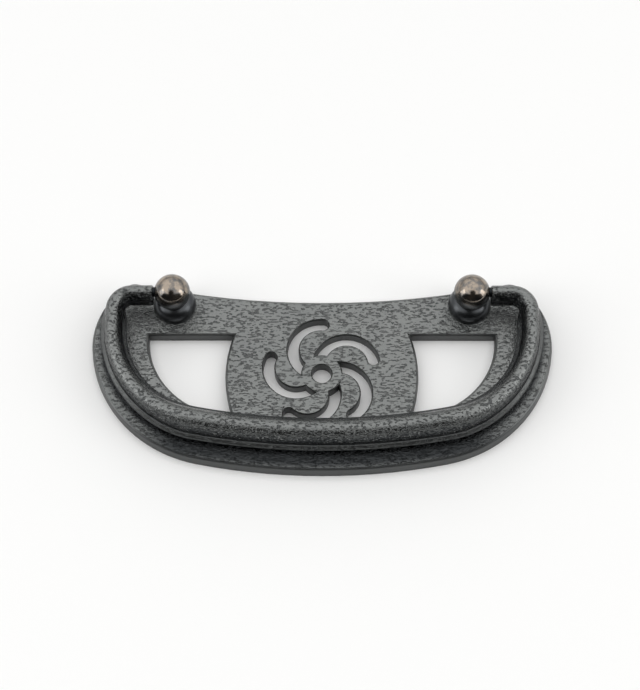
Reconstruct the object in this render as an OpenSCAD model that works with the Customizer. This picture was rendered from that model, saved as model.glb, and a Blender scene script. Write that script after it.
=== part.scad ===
// Bail pull on a pierced backplate: a cast plate, two ball posts and a swinging bail.
// X runs along the width, -Y is the grip's side and Z points away from the door or drawer.
// The back of the plate is at z = 0 and the pivot line of the bail stands over y = 0.

/* [Plate] */
// Width of the plate across its two side bulges
plate_w = 118; // [114:0.5:126]
// From the pivot line down to the middle of the lower edge
plate_reach = 45.5; // [45:0.5:52]
// Thickness of the casting
plate_t = 3.2; // [2.6:0.1:4.5]
// How much wider the back is than the face, all round
plate_draft = 0.3; // [0.1:0.05:0.6]
// Radius of the rounded rims of the outline and the windows
rim_r = 0.8; // [0.4:0.1:1.2]
// Radius of the shallow lower edge
bottom_r = 158; // [130:1:220]
// Radius of the two lower corners
corner_r = 35; // [31:0.5:38]
// Radius of the two side bulges
side_r = 21; // [18:0.5:24]
// Turn from straight down at which a lower corner meets its side bulge
side_turn = 81; // [76:0.5:84]
// Radius of the hollow upper edge
top_r = 216; // [180:1:260]
// Height of the upper edge over the pivot line, in the middle
top_rise = 1.4; // [0.5:0.1:3]
// Radius of the two upper corners
shoulder_r = 4; // [2:0.5:6]

/* [Windows] */
// Width of the cheek between a window and the plate's widest point
cheek_w = 14.7; // [12:0.1:18]
// Radius of a half-round window
window_r = 22; // [17:0.5:23]
// From the pivot line down to a window's straight upper edge
window_drop = 8.5; // [7.5:0.1:11]
// Width of the middle panel at its waist
panel_w = 48.8; // [44:0.2:52]
// Radius of the panel's bowed sides
panel_bow_r = 33.5; // [28:0.5:60]

/* [Whirl] */
// From the pivot line down to the middle of the whirl
hub_drop = 19.2; // [18.4:0.1:21]
// Diameter of the round hole in the middle
hub_hole_d = 4.9; // [3:0.1:6.5]
// Diameter of the plain ring between the hole and the arms
hub_ring_d = 10.5; // [9:0.1:11.5]
// Number of arms
arm_count = 5; // [3:1:5]
// Width of an arm's slot
arm_slot_w = 2.8; // [1.6:0.1:3.2]
// Radius of an arm's middle line
arm_r = 7; // [6:0.1:7.6]
// From the middle of the whirl to an arm's own centre
arm_offset = 6.7; // [6:0.1:7.2]
// Turn of the first arm's centre from the width
arm_turn = 21; // [0:1:71]
// Angle from an arm's own centre line to its round tip
arm_tip = -8; // [-25:1:10]
// Radius of the soft edges of the slots and of the round hole
slot_edge_r = 0.5; // [0.2:0.05:0.6]

/* [Posts] */
// Distance between the two posts
post_spacing = 76; // [74:0.5:80]
// Height of the ball's centre over the face of the plate
ball_rise = 7.6; // [7:0.1:9]
// Diameter of a ball
ball_d = 9.1; // [8.4:0.1:9.8]
// Diameter of a post's foot
foot_d = 10.9; // [10:0.1:11.2]
// Height of the straight wall of the foot
foot_wall = 0.6; // [0.4:0.1:1]
// Radius of the round that makes the foot a dome
foot_round = 3.4; // [3:0.1:3.8]
// Diameter of the neck between the dome and the ball
neck_d = 5.6; // [5:0.1:6.2]
// Diameter of the tenon that sits in the plate
tenon_d = 6; // [5:0.1:7]
// Clearance round a tenon in its hole
tenon_fit = 0.02; // [0.01:0.01:0.1]
// Diameter of the tapped hole in the back of a post
screw_hole_d = 3.3; // [2.5:0.1:4]
// Depth of the tapped hole from the back of the plate
screw_hole_depth = 5.2; // [4:0.1:5.4]

/* [Bail] */
// Width between the middle lines of the two legs
bail_w = 106; // [103:0.5:110]
// From the pivot line to the middle line of the grip
bail_reach = 37.3; // [34:0.1:39]
// Radius of the upper corners, on the middle line
bail_corner_r = 4.4; // [3.8:0.1:7]
// Radius of the two lower corners, on the middle line
bail_bend_r = 26; // [20:0.2:26.8]
// Radius of the grip's shallow bow, on the middle line
bail_bow_r = 175; // [140:1:240]
// Width of the arms and legs at the base of the section
leg_w = 6.6; // [5.6:0.1:7.2]
// Height of the arms and legs
leg_h = 4.9; // [4.7:0.1:5.4]
// Width of the grip at the base of the section
grip_w = 8.5; // [7.4:0.1:9.6]
// Height of the grip
grip_h = 6; // [5:0.1:7]
// Width of the smooth sloping lip along both sides
lip_w = 1.15; // [0.6:0.05:1.4]
// Width of the lips where they run out along the arms
lip_end_w = 0.25; // [0.1:0.05:0.6]
// From the pivot line down to where the lips have their full width
lip_full_drop = 7.5; // [5:0.5:10]
// Height of the lip
lip_h = 1.5; // [0.8:0.1:1.8]
// Height of the square edge under the lip
lip_edge = 0.4; // [0.2:0.1:0.6]
// Height of the pivot line over the flat underside
pivot_h = 3.2; // [2.8:0.1:3.3]

/* [Pivots] */
// Diameter of the two pivot pins
pin_d = 2.5; // [2:0.1:2.8]
// Running clearance round a pin, on the radius
pin_fit = 0.06; // [0.03:0.01:0.1]
// How far a pin reaches into its ball
pin_grip = 2.5; // [1.5:0.1:3]
// Gap between the end of an arm and the ball
arm_gap = 1.1; // [0.9:0.05:1.6]
// Space left between a pin's tip and the bottom of its hole
pin_end_gap = 0.4; // [0.2:0.1:0.8]
// Gap left under the outer edge of the lowered grip
rest_gap = 1.8; // [0.2:0.1:2.5]

/* [Hidden] */
$fn = 96;

cast_black = [0.16, 0.165, 0.17];
post_black = [0.09, 0.09, 0.1];

// How far cutting shapes run past the faces
over = 1;
// Rounded rims of openings are struck from a hair above the face, so they meet it at an angle
soft_top = plate_t + 0.02;
// Centres of the outline's arcs, on the right half
side_c_x = plate_w / 2 - side_r;
corner_c_x = side_c_x - (corner_r - side_r) * sin(side_turn);
bottom_c = [0, bottom_r - plate_reach];
corner_turn = asin(corner_c_x / (bottom_r - corner_r));
corner_c = [corner_c_x, bottom_c[1] - (bottom_r - corner_r) * cos(corner_turn)];
side_c = [side_c_x, corner_c[1] - (corner_r - side_r) * cos(side_turn)];
top_c = [0, top_rise + top_r];
// The upper corner rolls along the hollow edge and inside the side bulge
shoulder_c = far_crossing(top_c, top_r + shoulder_r, side_c, side_r - shoulder_r);
side_end = bearing(side_c, shoulder_c);
shoulder_end = bearing(shoulder_c, top_c);
top_start = bearing(top_c, shoulder_c) + 360;

// Windows and whirl
window_c = [plate_w / 2 - cheek_w - window_r, -window_drop];
panel_bow_x = panel_w / 2 - panel_bow_r;
hub_c = [0, -hub_drop];
arm_outer_r = arm_r + arm_slot_w / 2;
arm_inner_r = arm_r - arm_slot_w / 2;

// Posts
post_x = post_spacing / 2;
ball_r = ball_d / 2;
ball_z = plate_t + ball_rise;

// Bail, in its own flat frame with the pivot line at y = 0
arm_end_x = post_x + ball_r + arm_gap;
pin_tip_x = post_x + ball_r - pin_grip;
bend_c_x = bail_w / 2 - bail_bend_r;
bow_c = [0, bail_bow_r - bail_reach];
bend_turn = asin(bend_c_x / (bail_bow_r - bail_bend_r));
bend_c = [bend_c_x, bow_c[1] - (bail_bow_r - bail_bend_r) * cos(bend_turn)];
corner_start = [bail_w / 2 - bail_corner_r, -bail_corner_r];
// Tilt at which the outer edge of the grip comes down to the plate
grip_edge = bail_reach + grip_w / 2;
rest_tilt = asin((ball_rise - rest_gap) / norm([grip_edge, pivot_h])) - atan2(pivot_h, grip_edge);

// Direction in degrees from one point to another
function bearing(from, to) = atan2(to[1] - from[1], to[0] - from[0]);

// Crossing of two circles that lies on the outer, upper side
function far_crossing(a, ra, b, rb) =
    let (d = norm(b - a), u = (b - a) / d)
    let (along = (ra * ra - rb * rb + d * d) / (2 * d))
    a + along * u + sqrt(ra * ra - along * along) * [-u[1], u[0]];

// Points along an arc, without its last one
function arc(c, r, a0, a1, steps) =
    [for (i = [0:steps - 1]) let (a = a0 + (a1 - a0) * i / steps) c + r * [cos(a), sin(a)]];

// Steps in a rounded rim
rim_steps = 5;

// Rim of the outline as [inset, height], from the back up the drafted wall and over the round
outline_rim = concat(
    [[0, 0]],
    [
        for (i = [0:rim_steps])
            let (a = 90 * i / rim_steps)
            [plate_draft + rim_r * (1 - cos(a)), plate_t - rim_r * (1 - sin(a))]
    ]
);

// Outline of the plate moved inward, as arcs that all run on into each other
function plate_outline(inset) =
    let (right = concat(
        arc(bottom_c, bottom_r - inset, -90, corner_turn - 90, 7),
        arc(corner_c, corner_r - inset, corner_turn - 90, side_turn - 90, 22),
        arc(side_c, side_r - inset, side_turn - 90, side_end, 20),
        arc(shoulder_c, shoulder_r - inset, side_end, shoulder_end, 8),
        arc(top_c, top_r + inset, top_start, 270, 8),
        [top_c - [0, top_r + inset]]
    ))
    concat(right, [for (i = [len(right) - 2:-1:1]) [-right[i][0], right[i][1]]]);

// Closed solid through rings that lie over each other and have the same number of points
module stack(rings, heights) {
    n = len(rings[0]);
    polyhedron(
        points = [for (k = [0:len(rings) - 1]) for (p = rings[k]) [p[0], p[1], heights[k]]],
        faces = sweep_faces(len(rings), n),
        convexity = 8
    );
}

// Solid casting before it is pierced
module plate_blank() {
    stack([for (s = outline_rim) plate_outline(s[0])], [for (s = outline_rim) s[1]]);
}

// Cutter for a round opening whose upper edge is rounded over
module soft_hole(r, edge) {
    rotate_extrude() difference() {
        translate([0, -over]) square([r + edge, plate_t + 2 * over]);
        translate([r, -2 * over]) square([edge + over, soft_top - edge + 2 * over]);
        translate([r + edge, soft_top - edge]) circle(edge);
    }
}

// Round island that stays standing inside an opening, with a rounded upper edge
module soft_island(r, edge) {
    rotate_extrude() {
        translate([0, -2 * over]) square([r, soft_top - edge + 2 * over]);
        square([r - edge, soft_top]);
        translate([r - edge, soft_top - edge]) intersection() {
            circle(edge);
            square(edge);
        }
    }
}

// Cutter for everything below a straight edge that runs along the width
module soft_half(y, edge) {
    translate([-plate_w, 0, 0]) rotate([90, 0, 90]) linear_extrude(2 * plate_w) difference() {
        translate([y - 2 * window_r, -over]) square([2 * window_r + edge, plate_t + 2 * over]);
        translate([y, -2 * over]) square([edge + over, soft_top - edge + 2 * over]);
        translate([y + edge, soft_top - edge]) circle(edge);
    }
}

// Half-round window on the right, bounded by the bowed side of the middle panel
module window_cut() {
    difference() {
        intersection() {
            translate([window_c[0], window_c[1], 0]) soft_hole(window_r, rim_r);
            soft_half(-window_drop, rim_r);
        }
        translate([panel_bow_x, hub_c[1], 0]) soft_island(panel_bow_r, rim_r);
    }
}

// One arm of the whirl: a curved slot that starts on the hub's ring and ends in a round tip
module arm_cut() {
    reach = arm_offset + arm_outer_r;
    difference() {
        intersection() {
            translate([arm_offset, 0, 0]) soft_hole(arm_outer_r, slot_edge_r);
            translate([arm_offset, 0, -2 * over])
                rotate([0, 0, arm_tip])
                    translate([-2 * reach, 0, 0])
                        cube([4 * reach, 2 * reach, plate_t + 4 * over]);
        }
        translate([arm_offset, 0, 0]) soft_island(arm_inner_r, slot_edge_r);
        soft_island(hub_ring_d / 2, slot_edge_r);
    }
    // The round tip is a hair wider than the slot, so the two cross cleanly
    translate([arm_offset + arm_r * cos(arm_tip), arm_r * sin(arm_tip), 0])
        soft_hole(arm_slot_w / 2 + 0.03, slot_edge_r);
}

module backplate() {
    color(cast_black) difference() {
        plate_blank();
        for (side = [0, 1]) mirror([side, 0, 0]) {
            window_cut();
            translate([post_x, 0, -over])
                cylinder(h = plate_t + 2 * over, d = tenon_d + 2 * tenon_fit);
        }
        translate([hub_c[0], hub_c[1], 0]) {
            soft_hole(hub_hole_d / 2, slot_edge_r);
            for (i = [0:arm_count - 1]) rotate([0, 0, arm_turn + 360 * i / arm_count]) arm_cut();
        }
    }
}

// Turned outline of a post: tenon, domed foot, neck and ball
module post_profile() {
    square([tenon_d / 2, plate_t + foot_wall]);
    translate([0, plate_t]) square([foot_d / 2, foot_wall]);
    translate([0, plate_t]) square([foot_d / 2 - foot_round, foot_wall + foot_round]);
    translate([foot_d / 2 - foot_round, plate_t + foot_wall]) intersection() {
        circle(foot_round);
        square(foot_round);
    }
    translate([0, plate_t + foot_wall]) square([neck_d / 2, ball_rise - foot_wall]);
    translate([0, ball_z]) intersection() {
        circle(ball_r);
        translate([0, -ball_r]) square([ball_r, 2 * ball_r]);
    }
}

// Post on the right, with the tapped hole in its back and the pivot hole facing outward
module post() {
    hole_depth = pin_grip + pin_end_gap;
    translate([post_x, 0, 0]) color(post_black) difference() {
        rotate_extrude() post_profile();
        translate([0, 0, -over]) cylinder(h = screw_hole_depth + over, d = screw_hole_d);
        translate([ball_r - hole_depth, 0, ball_z])
            rotate([0, 90, 0])
                cylinder(h = hole_depth + over, d = pin_d + 2 * pin_fit);
    }
}

module left_post() {
    mirror([1, 0, 0]) post();
}

module right_post() {
    post();
}

// A station of the bail: place on the middle line, heading, and how far the section has swelled
function station(c, r, heading, swell) =
    [c[0] - r * sin(heading), c[1] + r * cos(heading), heading, swell];

// Soft step from 0 to 1
function ease(t) = let (u = min(1, max(0, t))) u * u * (3 - 2 * u);

// Share of the swelling from the top of a leg to the grip
function swelling(heading) = ease(pow(max(0, (-90 - heading) / (90 - bend_turn)), 2));

// Width of the lips at a given distance below the pivot line
function lip_at(drop) = lip_end_w + (lip_w - lip_end_w) * ease((drop - 2) / (lip_full_drop - 2));

function turn_stations(c, r, h0, h1, steps) =
    [for (i = [0:steps]) let (h = h0 + (h1 - h0) * i / steps) station(c, r, h, swelling(h))];

corner_steps = 8;
bend_steps = 26;
bow_steps = 8;
right_stations = concat(
    [[arm_end_x, 0, 0, 0]],
    turn_stations(corner_start, bail_corner_r, 0, -90, corner_steps),
    turn_stations(bend_c, bail_bend_r, -90, bend_turn - 180, bend_steps),
    [for (i = [1:bow_steps]) let (h = bend_turn * (1 - i / bow_steps) - 180) station(bow_c, bail_bow_r, h, 1)]
);
last = len(right_stations) - 1;
left_stations = [
    for (i = [last - 1:-1:0])
        let (s = right_stations[i])
        [-s[0], s[1], -s[2] - 360, s[3]]
];
stations = concat(right_stations, left_stations);

// Half-round section between two sloping lips, listed from the inner foot round to the inner lip
dome_steps = 18;
function section(w, h, lip) =
    let (half = w / 2 - lip_w, rim = half + lip)
    concat(
        [[-rim, 0], [rim, 0], [rim, lip_edge]],
        [
            for (i = [0:dome_steps])
                let (a = 180 * i / dome_steps)
                [half * cos(a), lip_h + (h - lip_h) * sin(a)]
        ],
        [[-rim, lip_edge]]
    );
section_points = dome_steps + 5;

function placed(s) =
    let (w = leg_w + (grip_w - leg_w) * s[3], h = leg_h + (grip_h - leg_h) * s[3])
    let (profile = section(w, h, lip_at(-s[1])))
    [for (p = profile) [s[0] - p[0] * sin(s[2]), s[1] + p[0] * cos(s[2]), p[1] - pivot_h]];

// Skin of a sweep between stations that hold n points each
function sweep_faces(count, n) = concat(
    [[for (j = [0:n - 1]) j]],
    [
        for (i = [0:count - 2])
            for (j = [0:n - 1])
                let (a = i * n + j, b = i * n + (j + 1) % n)
                each [[a, a + n, b + n], [a, b + n, b]]
    ],
    [[for (j = [n - 1:-1:0]) (count - 1) * n + j]]
);

module bail_bar() {
    polyhedron(
        points = [for (s = stations) each placed(s)],
        faces = sweep_faces(len(stations), section_points),
        convexity = 6
    );
}

module bail() {
    color(cast_black) translate([0, 0, ball_z]) rotate([rest_tilt, 0, 0]) {
        bail_bar();
        for (side = [0, 1]) mirror([side, 0, 0])
            translate([pin_tip_x, 0, 0])
                rotate([0, 90, 0])
                    cylinder(h = arm_end_x + over - pin_tip_x, d = pin_d);
    }
}

backplate();
left_post();
right_post();
bail();
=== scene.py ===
# %% [markdown]
# # A drop bail pull in blackened cast iron
#
# The real thing is a handle for a heavy door or drawer. A flat casting, pierced by two windows
# and a whirl, lies against the wood. Two turned posts hold a swinging bail, which hangs down
# until its grip stands just off the plate.
#
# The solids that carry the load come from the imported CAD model, which is the fixed frame here.
# Everything is in metres, so a length read off the object in millimetres is multiplied by MM.

# %% The fixed frame
import math

import bmesh
import bpy
from mathutils import Euler, Matrix, Quaternion, Vector


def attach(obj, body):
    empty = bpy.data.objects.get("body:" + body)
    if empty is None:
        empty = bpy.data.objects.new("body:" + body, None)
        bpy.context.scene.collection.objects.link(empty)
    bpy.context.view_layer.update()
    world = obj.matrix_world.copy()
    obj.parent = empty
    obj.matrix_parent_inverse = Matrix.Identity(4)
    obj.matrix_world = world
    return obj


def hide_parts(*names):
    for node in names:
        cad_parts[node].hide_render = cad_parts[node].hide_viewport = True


MM = 0.001
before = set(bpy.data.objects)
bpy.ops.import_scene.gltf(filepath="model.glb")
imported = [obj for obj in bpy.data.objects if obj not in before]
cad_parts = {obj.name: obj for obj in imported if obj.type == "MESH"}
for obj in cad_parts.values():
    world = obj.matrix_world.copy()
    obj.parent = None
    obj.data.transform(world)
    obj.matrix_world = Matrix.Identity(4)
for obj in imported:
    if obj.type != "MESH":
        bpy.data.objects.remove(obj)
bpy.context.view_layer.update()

# %% [markdown]
# ## The camera
#
# The photograph was taken with a long lens from above and in front, 65 degrees over the table,
# so the circles of the whirl look a little flat. A camera could be aimed with a tracking
# constraint, but a direction turned into a rotation stays put and has a roll of its own, which
# the photograph needs: the right end stands a touch higher than the left one.

# %% Camera
LOOK_AT = Vector((-0.51, -9.71, 0.0)) * MM
DISTANCE = 354.55 * MM
ELEVATION = math.radians(64.575)
AZIMUTH = math.radians(0.783)
ROLL = math.radians(-0.644)
SENSOR_WIDTH = 36
FOCAL_LENGTH = 71.83
NEAREST = 0.01
FARTHEST = 20

towards_eye = Vector(
    (
        math.sin(AZIMUTH) * math.cos(ELEVATION),
        -math.cos(AZIMUTH) * math.cos(ELEVATION),
        math.sin(ELEVATION),
    )
)
camera = bpy.data.objects.new("camera", bpy.data.cameras.new("camera"))
bpy.context.collection.objects.link(camera)
camera.location = LOOK_AT + towards_eye * DISTANCE
camera.rotation_mode = "QUATERNION"
camera.rotation_quaternion = (-towards_eye).to_track_quat("-Z", "Y") @ Quaternion((0, 0, 1), ROLL)
camera.data.sensor_width = SENSOR_WIDTH
camera.data.lens = FOCAL_LENGTH
camera.data.clip_start = NEAREST
camera.data.clip_end = FARTHEST
bpy.context.scene.camera = camera
print("camera at", [round(v / MM, 1) for v in camera.location], "mm")

# %% [markdown]
# ## Helpers for the pieces
#
# Every new piece goes the same way: a bmesh becomes a mesh, the mesh an object, and the object
# rides on the body of the CAD solid that it stands for. Faces are shaded smooth, and edges that
# turn by more than a given angle are marked sharp, so that a machined corner stays crisp.
# Points that an operator left on top of each other are welded first.

# %% Making a piece
WELD = 0.002 * MM
SHARP_ANGLE = 32


def shade(mesh, sharp=SHARP_ANGLE):
    mesh.shade_smooth()
    mesh.set_sharp_from_angle(angle=math.radians(sharp))


def make_piece(name, shape, body, stands_for, sharp=SHARP_ANGLE):
    mesh = bpy.data.meshes.new(name)
    shape.to_mesh(mesh)
    shape.free()
    shade(mesh, sharp)
    piece = bpy.data.objects.new(name, mesh)
    bpy.context.collection.objects.link(piece)
    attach(piece, body)
    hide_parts(stands_for)
    print(name, "has", len(mesh.polygons), "faces")
    return piece


def welded(shape):
    bmesh.ops.remove_doubles(shape, verts=shape.verts, dist=WELD)
    bmesh.ops.recalc_face_normals(shape, faces=shape.faces)
    return shape


# %% [markdown]
# ## The backplate
#
# The real plate is sand cast in one piece: its outline, the windows and the whirl all come out
# of the same mould, with soft rims. That form is in the CAD solid already, so modelling it again
# would only add errors. A copy of the solid is enough. Its loose triangles are merged first, so
# that light runs smoothly over the rims, and the weighted normals keep the large flat face flat
# right up to where the rim begins to turn. The solid's faces already point outwards, so its
# normals are left alone.

# %% Backplate
PLATE_T = 3.2 * MM

plate_shape = bmesh.new()
plate_shape.from_mesh(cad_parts["backplate"].data)
bmesh.ops.remove_doubles(plate_shape, verts=plate_shape.verts, dist=WELD)
bmesh.ops.dissolve_degenerate(plate_shape, edges=plate_shape.edges, dist=WELD)
plate = make_piece("plate_casting", plate_shape, "mounting", "backplate")
flat_face = plate.modifiers.new("flat face", "WEIGHTED_NORMAL")
flat_face.keep_sharp = True
flat_face.weight = 100

# %% [markdown]
# ## The posts
#
# Each post is turned on a lathe: a ball on a short neck, a foot with a round shoulder, and a
# tenon that fills the hole in the plate. So it is made like that here too, by spinning half of
# its outline round its axis. The outline starts at the bottom of the tapped hole in the back and
# ends on top of the ball.

# %% Outline of a post
POST_X = 38 * MM
BALL_R = 4.55 * MM
BALL_Z = 10.8 * MM
FOOT_R = 5.45 * MM
FOOT_WALL = 0.6 * MM
FOOT_ROUND = 3.4 * MM
NECK_R = 2.8 * MM
TENON_R = 3.0 * MM
SCREW_R = 1.65 * MM
SCREW_DEPTH = 5.2 * MM


def arc(centre, radius, start, stop, steps):
    turns = [math.radians(start + (stop - start) * i / steps) for i in range(steps + 1)]
    return [(centre[0] + radius * math.cos(a), centre[1] + radius * math.sin(a)) for a in turns]


def post_outline():
    neck_angle = math.degrees(math.asin(NECK_R / BALL_R)) - 90
    shoulder = (FOOT_R - FOOT_ROUND, PLATE_T + FOOT_WALL)
    tapped_hole = [(0, SCREW_DEPTH), (SCREW_R, SCREW_DEPTH), (SCREW_R, 0)]
    tenon = [(TENON_R, 0), (TENON_R, PLATE_T), (FOOT_R, PLATE_T)]
    foot = arc(shoulder, FOOT_ROUND, 0, 90, steps=12)
    neck = [(NECK_R, shoulder[1] + FOOT_ROUND)]
    ball = arc((0, BALL_Z), BALL_R, neck_angle, 90, steps=40)
    return tapped_hole + tenon + foot + neck + ball


print("a post's outline has", len(post_outline()), "points")

# %% [markdown]
# ## Turning and drilling
#
# The spin makes the turned form. The side of the ball is then drilled for the bail's pin. That
# hole crosses the lathe's axis, so no spin can make it, and a Boolean with a round bar does. The
# cut is applied at once, so that the piece is a plain mesh and the bar can go.

# %% Posts
PIN_R = 1.25 * MM
PIN_HOLE_R = 1.31 * MM
PIN_HOLE_DEPTH = 2.9 * MM
BIT_OVERSHOOT = 1 * MM
BIT_SIDES = 48
LATHE_STEPS = 96


def lathe(outline, centre_x):
    shape = bmesh.new()
    verts = [shape.verts.new((centre_x + x, 0, z)) for x, z in outline]
    edges = [shape.edges.new(pair) for pair in zip(verts, verts[1:])]
    bmesh.ops.spin(
        shape,
        geom=verts + edges,
        cent=(centre_x, 0, 0),
        axis=(0, 0, 1),
        angle=2 * math.pi,
        steps=LATHE_STEPS,
        use_merge=True,
    )
    return welded(shape)


def drill_bit(radius, start, stop):
    shape = bmesh.new()
    aim = (stop - start).to_track_quat("Z", "Y").to_matrix().to_4x4()
    bmesh.ops.create_cone(
        shape,
        cap_ends=True,
        segments=BIT_SIDES,
        radius1=radius,
        radius2=radius,
        depth=(stop - start).length,
        matrix=Matrix.Translation((start + stop) / 2) @ aim,
    )
    mesh = bpy.data.meshes.new("drill_bit")
    shape.to_mesh(mesh)
    shape.free()
    bit = bpy.data.objects.new("drill_bit", mesh)
    bpy.context.collection.objects.link(bit)
    return bit


def drill(piece, radius, start, stop):
    bit = drill_bit(radius, start, stop)
    cut = piece.modifiers.new("pin hole", "BOOLEAN")
    cut.operation = "DIFFERENCE"
    cut.solver = "EXACT"
    cut.object = bit
    finished = piece.evaluated_get(bpy.context.evaluated_depsgraph_get())
    drilled = bpy.data.meshes.new_from_object(finished)
    piece.modifiers.clear()
    piece.data = drilled
    shade(drilled)
    bpy.data.objects.remove(bit)


posts = []
for side, node in ((-1, "left_post"), (1, "right_post")):
    turning = lathe(post_outline(), side * POST_X)
    post = make_piece(node + "_turning", turning, "mounting", node)
    mouth = Vector((side * (POST_X + BALL_R + BIT_OVERSHOOT), 0, BALL_Z))
    bottom = Vector((side * (POST_X + BALL_R - PIN_HOLE_DEPTH), 0, BALL_Z))
    drill(post, PIN_HOLE_R, mouth, bottom)
    posts.append(post)

# %% [markdown]
# ## The bail
#
# The bail is a casting too: a bar with a flat back, a grained half-round top, and along both
# sides a lip that slopes up to the grain. It swells from the arms to the grip. A curve with a
# bevel profile would sweep such a section, but it can't let the section grow and the lips keep
# their width. So the section is drawn once as a ring of points, and that ring is extruded
# station by station along the bar, turned with it and set to its own width and height. One half
# is made this way and mirrored, as the pattern maker would do it.
#
# The bar's middle line runs out from the ball, turns a tight corner into the leg, and goes
# through the wide bend into the bow of the grip. All of it is made of tangent arcs, so the only
# thing to work out is where the bend meets the bow.

# %% Middle line of the bail
ARM_END_X = 42.95 * MM
LEG_X = 52.7 * MM
REACH = 36.9 * MM
CORNER_R = 4.4 * MM
BEND_R = 26.0 * MM
BOW_R = 172.5 * MM

quarter_turn = math.pi / 2
bend_x = LEG_X - BEND_R
bend_turn = math.asin(bend_x / (BOW_R - BEND_R))
bend_y = BOW_R - REACH - (BOW_R - BEND_R) * math.cos(bend_turn)
print("the bow turns into the bend at", round(math.degrees(bend_turn), 1), "degrees")


# %% Stations along the right half of the bar
ARM_STATIONS = [d * MM for d in (0, 0.12, 0.3, 1.4, 2.6, 3.8)]
LEG_PARTS = 4


def turn(centre, radius, start, stop, steps, first=0):
    """Places and headings, in radians, on an arc round a centre."""
    for i in range(first, steps + 1):
        heading = start + (stop - start) * i / steps
        yield centre[0] - radius * math.sin(heading), centre[1] + radius * math.cos(heading), heading


stations = [(ARM_END_X + d, 0.0, 0.0) for d in ARM_STATIONS]
stations += turn((LEG_X - CORNER_R, -CORNER_R), CORNER_R, 0, -quarter_turn, steps=14)
stations += [
    (LEG_X, -CORNER_R + (bend_y + CORNER_R) * i / LEG_PARTS, -quarter_turn) for i in range(1, LEG_PARTS)
]
stations += turn((bend_x, bend_y), BEND_R, -quarter_turn, bend_turn - math.pi, steps=42)
stations += turn((0, BOW_R - REACH), BOW_R, bend_turn - math.pi, -math.pi, steps=36, first=1)
print(len(stations), "stations on half of the bail")

# %% [markdown]
# ## The bail's section
#
# A ring runs up the outer lip, over the dome, down the inner lip and back under the flat back.
# Each of its points also carries two values for the finish. Grain says how rough the casting is
# there, from a smooth edge to the leather of the dome. Painted sheen says how much lighter the
# iron is painted there, as painted light from above: fully on top, hardly at all low on the
# flanks, which stay dark as painted shade. A value that is worked out with the shape lands
# exactly where the shape has it, which no pattern in space could do on a curved bar.

# %% Section of the bail
PIVOT_H = 3.2 * MM
LEG_SIZE = (6.6 * MM, 4.9 * MM)
GRIP_SIZE = (8.5 * MM, 6.0 * MM)
LIP_W = 1.15 * MM
LIP_END_W = 0.25 * MM
LIP_FROM = 2 * MM
LIP_RUN = 5.5 * MM
LIP_H = 1.5 * MM
LIP_EDGE = 0.4 * MM
LIP_STEPS = 5
LIP_GRAIN = 0.4
# The lips get part of the painted sheen, a painted highlight; the inner lip gets less, as painted shade.
LIP_SHEEN = 0.62
EDGE_SHEEN = 0.1
INNER_LIP_GRAIN = 0.7
INNER_LIP_SHEEN = 0.5
GROOVE_D = 0.2 * MM
GROOVE_FADE = 0.8
DOME_STEPS = 28
DOME_GRAIN_RISE = 5
# The dome is painted lighter the more it looks up: painted light from above, and painted shade low on its
# flanks.
DOME_SHEEN_FROM = 0.15
DOME_SHEEN_RUN = 0.5
BACK_ROUND = 0.15 * MM


def ease(t):
    """0 up to 0 and 1 from 1, with a smooth rise between them."""
    t = min(1.0, max(0.0, t))
    return t * t * (3 - 2 * t)


def lip_points(half, lip, swell):
    """From the lip's edge up to the groove beside the dome; the groove fades towards the grip."""
    groove = GROOVE_D * lip / LIP_W * (1 - GROOVE_FADE * swell)
    painted_sheen = LIP_SHEEN * lip / LIP_W
    points = [(half + lip, LIP_EDGE, 0, EDGE_SHEEN)]
    for i in range(1, LIP_STEPS):
        t = i / LIP_STEPS
        points.append((half + lip - lip * t, LIP_EDGE + (LIP_H - LIP_EDGE) * t, LIP_GRAIN, painted_sheen))
    # The last two points are the lip's upper edge and the bottom of the groove.
    points.append((half + 0.1 * lip, LIP_H - 0.2 * groove, 0.5, 0.4 * painted_sheen))
    points.append((half + 0.02 * lip, LIP_H - groove, 0.6, 0.3 * swell))
    return points


def dome_points(half, height, end):
    points = []
    for i in range(DOME_STEPS + 1):
        a = math.pi * i / DOME_STEPS
        up = LIP_H + (height - end) * math.sin(a)
        facing_up = math.atan2(half * math.sin(a), height * abs(math.cos(a))) / quarter_turn
        grain = ease(math.sin(a) * DOME_GRAIN_RISE)
        painted_sheen = ease((facing_up - DOME_SHEEN_FROM) / DOME_SHEEN_RUN)
        points.append((half * math.cos(a), up, grain, painted_sheen))
    return points


def section(heading, drop, end=0.0):
    """The ring as (sideways, height, grain, painted sheen), for a heading and a distance down from the
    pivot.
    """
    swell = ease(max(0.0, (-quarter_turn - heading) / (quarter_turn - bend_turn)) ** 2)
    width = LEG_SIZE[0] + (GRIP_SIZE[0] - LEG_SIZE[0]) * swell
    height = LEG_SIZE[1] + (GRIP_SIZE[1] - LEG_SIZE[1]) * swell
    lip = LIP_END_W + (LIP_W - LIP_END_W) * ease((drop - LIP_FROM) / LIP_RUN)
    half = width / 2 - LIP_W - end
    rim = half + lip
    outer_lip = lip_points(half, lip, swell)
    dome = dome_points(half, height - LIP_H, end)
    # The inner lip is the same, but the grain is rougher on it, and it is painted with less sheen, as
    # painted shade.
    inner_lip = [
        (-side, up, INNER_LIP_GRAIN, INNER_LIP_SHEEN * painted_sheen) for side, up, _, painted_sheen in reversed(outer_lip)
    ]
    back = [(-rim, BACK_ROUND), (BACK_ROUND - rim, 0), (rim - BACK_ROUND, 0), (rim, BACK_ROUND)]
    return outer_lip + dome + inner_lip + [(side, up, 0, 0) for side, up in back]


print("the bail's section has", len(section(0, 0)), "points")

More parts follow.
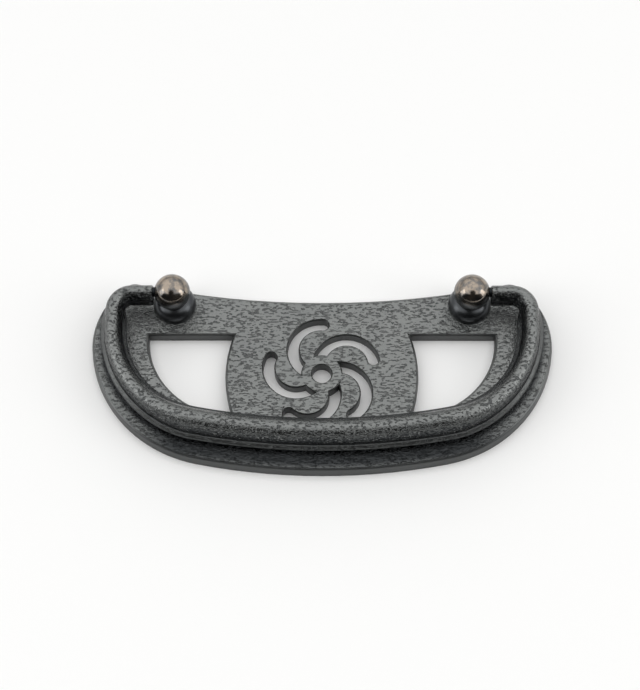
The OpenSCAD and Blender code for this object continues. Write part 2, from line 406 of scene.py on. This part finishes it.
# %% [markdown]
# ## Casting the bail
#
# The ring of the first station is closed with a face, which is the flat end of the arm. Its
# first two stations are a little smaller, so that the end has a soft corner. Every further
# station extrudes the ring's edges once and moves the new points to their place. The mirror
# then adds the left half, and two plain pins go into the ends of the arms.

# %% Casting the bail
PIN_TIP_X = 40.05 * MM
PIN_IN_ARM = 1 * MM
PIN_SIDES = 40
END_SOFT = 0.22 * MM
SECOND_SOFT = 0.07 * MM

bail_shape = bmesh.new()
grain_layer = bail_shape.verts.layers.float.new("grain")
# This layer holds the share of painted sheen, which is painted light from above.
painted_sheen_layer = bail_shape.verts.layers.float.new("painted_sheen")


def place(ring, station, end=0.0):
    x, y, heading = station
    for vert, (side, up, grain, painted_sheen) in zip(ring, section(heading, -y, end)):
        vert.co = (x - side * math.sin(heading), y + side * math.cos(heading), up - PIVOT_H)
        vert[grain_layer] = grain
        vert[painted_sheen_layer] = painted_sheen


ring = [bail_shape.verts.new() for _ in section(0, 0)]
edges = [bail_shape.edges.new((a, b)) for a, b in zip(ring, ring[1:] + ring[:1])]
place(ring, stations[0], end=END_SOFT)
bail_shape.faces.new(ring)
for i, station in enumerate(stations[1:]):
    grown = bmesh.ops.extrude_edge_only(bail_shape, edges=edges)["geom"]
    new_verts = {v for v in grown if isinstance(v, bmesh.types.BMVert)}
    bail_shape.verts.ensure_lookup_table()
    ring = [next(e.other_vert(v) for e in v.link_edges if e.other_vert(v) in new_verts) for v in ring]
    edges = [e for e in grown if isinstance(e, bmesh.types.BMEdge) and all(v in new_verts for v in e.verts)]
    place(ring, station, end=(SECOND_SOFT if i == 0 else 0.0))

bmesh.ops.mirror(
    bail_shape,
    geom=bail_shape.verts[:] + bail_shape.edges[:] + bail_shape.faces[:],
    axis="X",
    merge_dist=WELD,
)
welded(bail_shape)
for side in (-1, 1):
    middle = Vector((side * (PIN_TIP_X + ARM_END_X + PIN_IN_ARM) / 2, 0, 0))
    bmesh.ops.create_cone(
        bail_shape,
        cap_ends=True,
        segments=PIN_SIDES,
        radius1=PIN_R,
        radius2=PIN_R,
        depth=ARM_END_X + PIN_IN_ARM - PIN_TIP_X,
        matrix=Matrix.Translation(middle) @ Euler((0, quarter_turn, 0)).to_matrix().to_4x4(),
    )
print("half the bail is mirrored, both pins are in:", len(bail_shape.faces), "faces")

# %% [markdown]
# ## Hanging the bail
#
# So far the bar lies flat round its pivot. On the object it hangs in the balls and tilts until
# the lower edge of its grip stands a set gap off the plate. The tilt follows from that
# gap: it is the angle at which the edge, a known distance from the pivot, has come down by the
# pivot's height over the plate, less the gap.

# %% Hanging the bail
REST_GAP = 1.8 * MM
BAIL_SHARP_ANGLE = 34

grip_edge = REACH + GRIP_SIZE[0] / 2
edge_drop = BALL_Z - PLATE_T - REST_GAP
rest_tilt = math.asin(edge_drop / math.hypot(grip_edge, PIVOT_H)) - math.atan2(PIVOT_H, grip_edge)
tilting = Matrix.Rotation(rest_tilt, 3, "X")
bmesh.ops.rotate(bail_shape, verts=bail_shape.verts, cent=(0, 0, 0), matrix=tilting)
bmesh.ops.translate(bail_shape, verts=bail_shape.verts, vec=(0, 0, BALL_Z))
print("the bail rests at a tilt of", round(math.degrees(rest_tilt), 2), "degrees")
bail = make_piece("bail_casting", bail_shape, "bail", "bail", sharp=BAIL_SHARP_ANGLE)

# %% [markdown]
# ## Finishes
#
# A colour is written as it looks on a screen, in sRGB hex, and one function turns it into the
# linear values that light is added up in. One more function adds a node to a material with its
# settings and its links, so that each finish reads as a short list of what it is made of.
#
# Inputs are given by name, with _ for a space. Some nodes have several inputs of one name, as
# the two values of a sum have, and those are given by number: i0 is the first. In a Mix node i0
# is the share, i2 and i3 are two values to mix, and i6 and i7 two colours. A Map Range node
# takes its range from a small named set of inputs; it rises from 0 to 1 if no more is said.

# %% Colour and node helpers
SMOOTH = {"interpolation_type": "SMOOTHSTEP"}
MIX_VALUES = {"data_type": "FLOAT"}
MIX_COLOURS = {"data_type": "RGBA"}
MULTIPLY = {"operation": "MULTIPLY"}
MULTIPLY_ADD = {"operation": "MULTIPLY_ADD"}
SUBTRACT = {"operation": "SUBTRACT"}
DISTANCE_TO = {"operation": "DISTANCE"}


def linear(hex_code):
    parts = [int(hex_code[i : i + 2], 16) / 255 for i in (1, 3, 5)]
    return [p / 12.92 if p <= 0.04045 else ((p + 0.055) / 1.055) ** 2.4 for p in parts] + [1]


def new_finish(name):
    finish = bpy.data.materials.new(name)
    finish.use_nodes = True
    finish.node_tree.nodes.clear()
    return finish


def add(tree, kind, settings=None, **links):
    """Adds a node: settings are its properties, and links fill inputs with values or other outputs."""
    node = tree.nodes.new(kind)
    for key, value in (settings or {}).items():
        setattr(node, key, value)
    for key, value in links.items():
        numbered = key[0] == "i" and key[1:].isdigit()
        socket = node.inputs[int(key[1:]) if numbered else key.replace("_", " ")]
        if isinstance(value, bpy.types.NodeSocket):
            tree.links.new(value, socket)
        else:
            socket.default_value = value
    return node


def wear(finish, piece):
    piece.data.materials.clear()
    piece.data.materials.append(finish)
    print(piece.name, "wears", finish.name, "with", len(finish.node_tree.nodes), "nodes")


# %% [markdown]
# ## Leather grain
#
# The plate and the bail are grey iron, cast in sand against a pattern with a leather grain. The
# eye sees short fine strokes in it, about a millimetre long, and rims that stay smooth.
#
# An image of leather would repeat and stretch. A noise read from Object coordinates doesn't: it
# is drawn out along the width, and only its lowest places are kept, as strokes. A finer noise
# roughens the iron between them. The relief is about 0.2 mm deep, too shallow to show in the
# outline, so it goes into a Bump node.

# %% Leather grain
PLATE_GRAIN = {
    "length": 1.2 * MM,
    "width": 0.42 * MM,
    "depth": 0.22 * MM,
    "stroke_rub": 0.62,
    "crest_wear_and_glint": 0.0,
}
BAIL_GRAIN = {
    "length": 1.0 * MM,
    "width": 0.6 * MM,
    "depth": 0.22 * MM,
    "stroke_rub": 0.3,
    "crest_wear_and_glint": 0.9,
}
FINE_GRAIN = 0.5 * MM
FINE_SHARE = 0.8
STROKE_NOISE = {"From_Min": 0.37, "From_Max": 0.47}
# The crests are rubbed bare and painted bright, as glints on the bail.
CREST_NOISE = {"From_Min": 0.55, "From_Max": 0.61}


def leather_grain(tree, where, mask, grain):
    """Returns the shading normal, how much of the painted sheen the iron keeps in and between the strokes,
    and its crests.
    """
    cell = (1 / grain["length"], 1 / grain["width"], 1 / grain["width"])
    drawn_out = add(tree, "ShaderNodeVectorMath", MULTIPLY, i0=where, i1=cell)
    wrinkles = add(tree, "ShaderNodeTexNoise", Vector=drawn_out.outputs[0], Scale=1.0, Detail=2.0)
    dips = wrinkles.outputs["Fac"]
    strokes = add(tree, "ShaderNodeMapRange", SMOOTH, Value=dips, **STROKE_NOISE).outputs[0]
    fine = add(
        tree, "ShaderNodeTexNoise", Vector=where, Scale=1 / FINE_GRAIN, Detail=3.0, Roughness=0.6
    ).outputs["Fac"]
    lumps = add(tree, "ShaderNodeMath", MULTIPLY_ADD, i0=fine, i1=FINE_SHARE, i2=strokes)
    masked = add(tree, "ShaderNodeMath", MULTIPLY, i0=lumps.outputs[0], i1=mask)
    bump = add(tree, "ShaderNodeBump", Strength=1.0, Distance=grain["depth"], Height=masked.outputs[0])
    bare = add(tree, "ShaderNodeMapRange", Value=strokes, To_Min=grain["stroke_rub"])
    crests = add(tree, "ShaderNodeMapRange", Value=fine, To_Max=grain["crest_wear_and_glint"], **CREST_NOISE)
    return bump.outputs[0], bare.outputs[0], crests.outputs[0]


# %% [markdown]
# ## Blackened cast iron
#
# The castings are blackened and then tumbled. The faces that look up are painted lighter, as a
# dark grey sheen of iron: that is painted light, for the bright ceiling over them. The walls and
# the flanks of the bail keep the black skin as painted shade, and the bottoms of the grain keep
# more of their black skin. The eye sees two tones of one dark metal. A paint would need a clear
# coat over a base, but this is bare iron in a thin oxide, so a metal with a dark colour is right,
# and the tone is a mix by the share of painted sheen.

# %% Blackened cast iron
BLACK_SKIN = "#2e3032"
# The sheen colours are painted light: a lighter grey for the bright ceiling over the faces that look up.
SHEEN_DARK = "#727474"
SHEEN_LIGHT = "#828482"
PATCH_SIZE = 7 * MM
SKIN_ROUGHNESS = 0.22
RUBBED_ROUGHNESS = 0.15
SMOOTH_CAST_ROUGHNESS = 0.42


def blackened_iron(name, grain_of, painted_sheen_of, grain):
    """Two functions say where the grain lies and how much painted sheen the iron gets, each as a node's
    output.
    """
    finish = new_finish(name)
    tree = finish.node_tree
    where = add(tree, "ShaderNodeTexCoord").outputs["Object"]
    mask = grain_of(tree, where)
    normal, bare, crests = leather_grain(tree, where, mask, grain)
    patches = add(tree, "ShaderNodeTexNoise", Vector=where, Scale=1 / PATCH_SIZE, Detail=4.0, Roughness=0.6)
    sheen = add(
        tree,
        "ShaderNodeMix",
        MIX_COLOURS,
        i0=patches.outputs["Fac"],
        i6=linear(SHEEN_DARK),
        i7=linear(SHEEN_LIGHT),
    )
    # The strokes only darken where there is grain.
    in_grain = add(tree, "ShaderNodeMix", MIX_VALUES, i0=mask, i2=1.0, i3=bare)
    painted_sheen_between_strokes = add(tree, "ShaderNodeMath", MULTIPLY, i0=painted_sheen_of(tree, where), i1=in_grain.outputs[0])
    # The highest crests of the bail's grain are rubbed bare even on its flanks, and painted bright there as
    # glints.
    on_crests = add(tree, "ShaderNodeMath", MULTIPLY, i0=mask, i1=crests)
    painted_sheen_and_glints = add(
        tree, "ShaderNodeMath", {"operation": "MAXIMUM"}, i0=painted_sheen_between_strokes.outputs[0], i1=on_crests.outputs[0]
    ).outputs[0]
    # The tone is the black skin with the painted sheen over it: painted light where the share is high,
    # painted shade where it is low.
    tone = add(tree, "ShaderNodeMix", MIX_COLOURS, i0=painted_sheen_and_glints, i6=linear(BLACK_SKIN), i7=sheen.outputs[2])
    # The grain is tumbled glossy, and the smooth walls stay as dull as they were cast.
    glossy = add(tree, "ShaderNodeMapRange", Value=painted_sheen_and_glints, To_Min=SKIN_ROUGHNESS, To_Max=RUBBED_ROUGHNESS)
    rough = add(tree, "ShaderNodeMix", MIX_VALUES, i0=mask, i2=SMOOTH_CAST_ROUGHNESS, i3=glossy.outputs[0])
    iron = add(
        tree,
        "ShaderNodeBsdfPrincipled",
        Base_Color=tone.outputs[2],
        Metallic=1.0,
        Roughness=rough.outputs[0],
        Normal=normal,
    )
    add(tree, "ShaderNodeOutputMaterial", Surface=iron.outputs[0])
    return finish


# %% [markdown]
# ## Painted sheen and shade on the plate
#
# The plate is grained on its face only, and its walls are smooth. The face gets the painted sheen
# too, but hardly in the strip outside the grip: that dark strip is a painted shadow of the grip, and
# it also stands in for some of the shadow that a grip a little further off the plate would throw.
# Towards the rim the sheen comes back. A painted mask would have to be redrawn after each change of
# size. A distance from the bail's own middle line follows it by itself: outside the bow it is a
# distance from the bow's centre, and beside the bends one from theirs.

# %% Distance out from the bail
BOW_TO_BEND_X = {"From_Min": 31.5 * MM, "From_Max": 33 * MM}


def out_from_bail(tree, where, side):
    """How far a point of the plate lies out from the bail's middle line."""
    flat = add(tree, "ShaderNodeVectorMath", MULTIPLY, i0=where, i1=(1, 1, 0))
    bow_centre = (0, BOW_R - REACH, 0)
    reach = add(tree, "ShaderNodeVectorMath", DISTANCE_TO, i0=flat.outputs[0], i1=bow_centre)
    off_bow = add(tree, "ShaderNodeMath", SUBTRACT, i0=reach.outputs["Value"], i1=BOW_R)
    forward = add(tree, "ShaderNodeSeparateXYZ", Vector=where).outputs["Y"]
    # Beside the straight legs only the distance sideways counts.
    below_leg = add(tree, "ShaderNodeMath", {"operation": "MINIMUM"}, i0=forward, i1=bend_y)
    down = add(tree, "ShaderNodeMath", SUBTRACT, i0=below_leg.outputs[0], i1=bend_y)
    across = add(tree, "ShaderNodeMath", SUBTRACT, i0=side, i1=bend_x)
    from_centre = add(tree, "ShaderNodeCombineXYZ", X=across.outputs[0], Y=down.outputs[0])
    span = add(tree, "ShaderNodeVectorMath", {"operation": "LENGTH"}, i0=from_centre.outputs[0])
    off_bend = add(tree, "ShaderNodeMath", SUBTRACT, i0=span.outputs["Value"], i1=BEND_R)
    at_bend = add(tree, "ShaderNodeMapRange", Value=side, **BOW_TO_BEND_X)
    return add(
        tree,
        "ShaderNodeMix",
        MIX_VALUES,
        i0=at_bend.outputs[0],
        i2=off_bow.outputs[0],
        i3=off_bend.outputs[0],
    ).outputs[0]


# %% Where the plate is grained, and where its sheen and shadow are painted
GRAIN_HEIGHT = {"From_Min": PLATE_T - 0.12 * MM, "From_Max": PLATE_T - 0.01 * MM}
FACE_HEIGHT = {"From_Min": PLATE_T - 0.6 * MM, "From_Max": PLATE_T - 0.1 * MM}
# The strip outside the grip is painted dark, a painted shadow of the grip, which fades out towards the rim.
SHADE_STRIP_OUT = {"From_Min": 2.2 * MM, "From_Max": 3.4 * MM}
BOW_RIM_OUT = {"From_Min": 6.2 * MM, "From_Max": 9.0 * MM}
SIDE_RIM_OUT = {"From_Min": 3.2 * MM, "From_Max": 5.0 * MM}
SIDE_X = {"From_Min": 36 * MM, "From_Max": 50 * MM}
SHADE_STRIP_DROP = -0.9
RIM_SHEEN = 0.75
# The walls get only a little of the painted sheen, and stay darker as painted shade.
WALL_SHEEN = 0.38


def on_face(tree, where, span):
    """1 on the plate's face and 0 on its walls, with the change at a span of heights."""
    height = add(tree, "ShaderNodeSeparateXYZ", Vector=where).outputs["Z"]
    return add(tree, "ShaderNodeMapRange", SMOOTH, Value=height, **span).outputs[0]


def plate_sheen_and_shade(tree, where):
    across = add(tree, "ShaderNodeSeparateXYZ", Vector=where).outputs["X"]
    side = add(tree, "ShaderNodeMath", {"operation": "ABSOLUTE"}, i0=across).outputs[0]
    out = out_from_bail(tree, where, side)
    # Here the painted shadow of the grip takes the sheen away.
    in_shade_strip = add(tree, "ShaderNodeMapRange", SMOOTH, Value=out, **SHADE_STRIP_OUT).outputs[0]
    shade_strip_factor = add(tree, "ShaderNodeMath", MULTIPLY_ADD, i0=in_shade_strip, i1=SHADE_STRIP_DROP, i2=1.0).outputs[0]
    # Along the bow the strip is wide, and at the sides it is narrow, so the rim begins sooner.
    bow_rim = add(tree, "ShaderNodeMapRange", SMOOTH, Value=out, **BOW_RIM_OUT).outputs[0]
    side_rim = add(tree, "ShaderNodeMapRange", SMOOTH, Value=out, **SIDE_RIM_OUT).outputs[0]
    at_side = add(tree, "ShaderNodeMapRange", SMOOTH, Value=side, **SIDE_X).outputs[0]
    at_rim = add(tree, "ShaderNodeMix", MIX_VALUES, i0=at_side, i2=bow_rim, i3=side_rim).outputs[0]
    face_sheen = add(tree, "ShaderNodeMath", MULTIPLY_ADD, i0=at_rim, i1=RIM_SHEEN, i2=shade_strip_factor).outputs[0]
    face = on_face(tree, where, FACE_HEIGHT)
    return add(tree, "ShaderNodeMix", MIX_VALUES, i0=face, i2=WALL_SHEEN, i3=face_sheen).outputs[0]


plate_iron = blackened_iron(
    "blackened_cast_iron_plate",
    lambda tree, where: on_face(tree, where, GRAIN_HEIGHT),
    plate_sheen_and_shade,
    PLATE_GRAIN,
)
wear(plate_iron, plate)

# %% [markdown]
# ## Painted sheen on the bail
#
# The bail turns, so a height or a distance in space would slide over it. Its grain and its
# painted sheen were written into its points when it was made, and the finish reads them back from
# there.

# %% Finish of the bail
bail_iron = blackened_iron(
    "blackened_cast_iron_bail",
    lambda tree, where: add(tree, "ShaderNodeAttribute", {"attribute_name": "grain"}).outputs["Fac"],
    lambda tree, where: add(tree, "ShaderNodeAttribute", {"attribute_name": "painted_sheen"}).outputs["Fac"],
    BAIL_GRAIN,
)
wear(bail_iron, bail)

# %% [markdown]
# ## Polished black posts
#
# The posts are turned steel and blackened, and only the upper half of the ball is polished. The
# polishing makes it a small dark mirror with a warm, stained tint: it shows the soft light above
# as a bright cap, and the dim front of the room below it. That upper half is also painted a lighter
# grey than the rest, a painted highlight. The rest of the ball, the neck and the foot keep the satin
# black of the bath, so they have soft gleams and no mirror, and they are painted darker as painted
# shade. Both finishes are one material, parted by the height, because the change from one to the
# other is gradual.

# %% Polished and satin blackened steel
# Above this height the ball is polished and painted lighter, a painted highlight; below it the darker satin
# black is painted shade.
POLISH_AND_LIGHT_HEIGHT = {"From_Min": BALL_Z + 0.1 * BALL_R, "From_Max": BALL_Z + 0.6 * BALL_R}
SHADED_SATIN_BLACK = "#4c4e50"
SATIN_ROUGHNESS = 0.3
LIT_POLISH_GREY = "#6b6a69"
LIT_POLISH_TAN = "#a19588"
SMEAR_SIZE = 2.5 * MM
SMEAR_DEPTH = 0.006 * MM
SMEAR_ROUGHNESS = {"From_Min": 0.3, "From_Max": 0.7, "To_Min": 0.08, "To_Max": 0.2}
STAIN_SIZE = 1.8 * MM
STAIN_NOISE = {"From_Min": 0.38, "From_Max": 0.6}


def blackened_steel():
    finish = new_finish("blackened_steel_painted_light_and_shade")
    tree = finish.node_tree
    where = add(tree, "ShaderNodeTexCoord").outputs["Object"]
    height = add(tree, "ShaderNodeSeparateXYZ", Vector=where).outputs["Z"]
    polish_and_light = add(tree, "ShaderNodeMapRange", SMOOTH, Value=height, **POLISH_AND_LIGHT_HEIGHT).outputs[0]
    smears = add(tree, "ShaderNodeTexNoise", Vector=where, Scale=1 / SMEAR_SIZE, Detail=3.0).outputs["Fac"]
    mirror = add(tree, "ShaderNodeMapRange", Value=smears, **SMEAR_ROUGHNESS)
    stains = add(tree, "ShaderNodeTexNoise", Vector=where, Scale=1 / STAIN_SIZE, Detail=4.0, Roughness=0.6)
    patina = add(tree, "ShaderNodeMapRange", Value=stains.outputs["Fac"], **STAIN_NOISE)
    tint = add(
        tree,
        "ShaderNodeMix",
        MIX_COLOURS,
        i0=patina.outputs[0],
        i6=linear(LIT_POLISH_GREY),
        i7=linear(LIT_POLISH_TAN),
    )
    # Painted light on the polished cap, and painted shade on the rest.
    tone = add(tree, "ShaderNodeMix", MIX_COLOURS, i0=polish_and_light, i6=linear(SHADED_SATIN_BLACK), i7=tint.outputs[2])
    rough = add(tree, "ShaderNodeMix", MIX_VALUES, i0=polish_and_light, i2=SATIN_ROUGHNESS, i3=mirror.outputs[0])
    bump = add(tree, "ShaderNodeBump", Strength=0.3, Distance=SMEAR_DEPTH, Height=smears)
    steel = add(
        tree,
        "ShaderNodeBsdfPrincipled",
        Base_Color=tone.outputs[2],
        Metallic=1.0,
        Roughness=rough.outputs[0],
        Normal=bump.outputs[0],
    )
    add(tree, "ShaderNodeOutputMaterial", Surface=steel.outputs[0])
    return finish


post_steel = blackened_steel()
for post in posts:
    wear(post_steel, post)

# %% [markdown]
# ## The table
#
# The object lies on a large white board. It is a plane, matt and almost pure white, which from
# the photograph's view renders just short of white, though from low at the side it does reach
# it. It lies a hair below the plate's back, because two faces at the same height would flicker
# into each other.

# %% Table
TABLE_SIZE = 3.0
TABLE_DROP = 0.02 * MM
BOARD_WHITE = "#fbfbfa"
BOARD_ROUGHNESS = 0.7
BOARD_SPECULAR = 0.2

table_shape = bmesh.new()
bmesh.ops.create_grid(table_shape, x_segments=1, y_segments=1, size=TABLE_SIZE)
table_mesh = bpy.data.meshes.new("table")
table_shape.to_mesh(table_mesh)
table_shape.free()
table = bpy.data.objects.new("table", table_mesh)
table.location.z = -TABLE_DROP
bpy.context.collection.objects.link(table)

white_board = new_finish("white_table_board")
board_tree = white_board.node_tree
board = add(
    board_tree,
    "ShaderNodeBsdfPrincipled",
    Base_Color=linear(BOARD_WHITE),
    Roughness=BOARD_ROUGHNESS,
    Specular_IOR_Level=BOARD_SPECULAR,
)
add(board_tree, "ShaderNodeOutputMaterial", Surface=board.outputs[0])
wear(white_board, table)

# %% [markdown]
# ## The light
#
# The light is soft: a bright ceiling over the object and behind it, two softboxes low at the
# sides, and a dim room in front, which gives the dark metal its shape. The ceiling could be a
# large lamp, but its edge would show in the balls. So it is the world's own colour, which fades
# towards the front, and only the two softboxes are lamps. The camera sees the world as plain
# pale grey, whatever light it gives. A direction has the length one, so its Z runs from 0 at the
# horizon to 1 straight above.

# %% World
CEILING_NORMAL = (0.0, 0.755, 0.656)
CEILING_EDGE = {"From_Min": -0.06, "From_Max": 0.1}
WALL_TO_CEILING = {"From_Min": 0.1, "From_Max": 0.6, "To_Min": 0.64, "To_Max": 1.27}
FRONT_LEVEL = 0.04
SEEN_LEVEL = 0.94
HOLE_DIRECTION = (0.0, -0.54, 0.842)
HOLE_EDGE = {"From_Min": 0.2, "From_Max": 0.42}

world = bpy.data.worlds.new("studio")
bpy.context.scene.world = world
world.use_nodes = True
sky = world.node_tree
sky.nodes.clear()
direction = add(sky, "ShaderNodeTexCoord").outputs["Generated"]
# The edge between the ceiling's light and the dim front stands 49 degrees over the table in
# front and sinks to the sides and the back: it is a plane through the object that leans back.
lean = add(sky, "ShaderNodeVectorMath", {"operation": "DOT_PRODUCT"}, i0=direction, i1=CEILING_NORMAL)
lit = add(sky, "ShaderNodeMapRange", SMOOTH, Value=lean.outputs["Value"], **CEILING_EDGE)
# The walls under the ceiling are dimmer than the ceiling itself.
height = add(sky, "ShaderNodeSeparateXYZ", Vector=direction).outputs["Z"]
ceiling = add(sky, "ShaderNodeMapRange", Value=height, **WALL_TO_CEILING)
# The light has a hole, 57 degrees over the table and a little under the lens, which the balls
# mirror as a dark spot.
off_hole = add(sky, "ShaderNodeVectorMath", DISTANCE_TO, i0=direction, i1=HOLE_DIRECTION)
past_hole = add(sky, "ShaderNodeMapRange", SMOOTH, Value=off_hole.outputs["Value"], **HOLE_EDGE)
shining = add(sky, "ShaderNodeMath", MULTIPLY, i0=lit.outputs[0], i1=past_hole.outputs[0])
room = add(sky, "ShaderNodeMix", MIX_VALUES, i0=shining.outputs[0], i2=FRONT_LEVEL, i3=ceiling.outputs[0])
seen = add(sky, "ShaderNodeLightPath").outputs["Is Camera Ray"]
level = add(sky, "ShaderNodeMix", MIX_VALUES, i0=seen, i2=room.outputs[0], i3=SEEN_LEVEL)
glow = add(sky, "ShaderNodeBackground", Color=(1, 1, 1, 1), Strength=level.outputs[0])
add(sky, "ShaderNodeOutputWorld", Surface=glow.outputs[0])
print("the world has", len(sky.nodes), "nodes")

# %% Softboxes
SOFTBOX_PLACE = Vector((0.9, -0.2, 0.36))
SOFTBOX_SIZE = (0.42, 0.62)
SOFTBOX_POWER = 1.5


def softbox(name, spot):
    lamp = bpy.data.lights.new(name, "AREA")
    lamp.shape = "RECTANGLE"
    lamp.size, lamp.size_y = SOFTBOX_SIZE
    lamp.energy = SOFTBOX_POWER
    holder = bpy.data.objects.new(name, lamp)
    holder.location = spot
    holder.rotation_mode = "QUATERNION"
    holder.rotation_quaternion = (-spot).to_track_quat("-Z", "Y")
    bpy.context.collection.objects.link(holder)
    print(name, "at", [round(v, 2) for v in spot], "m")


for side, name in ((-1, "softbox_left"), (1, "softbox_right")):
    softbox(name, Vector((side * SOFTBOX_PLACE.x, SOFTBOX_PLACE.y, SOFTBOX_PLACE.z)))

# %% [markdown]
#
# The view transform is Standard, which shows the colours about as they are written.

bpy.context.scene.view_settings.view_transform = "Standard"
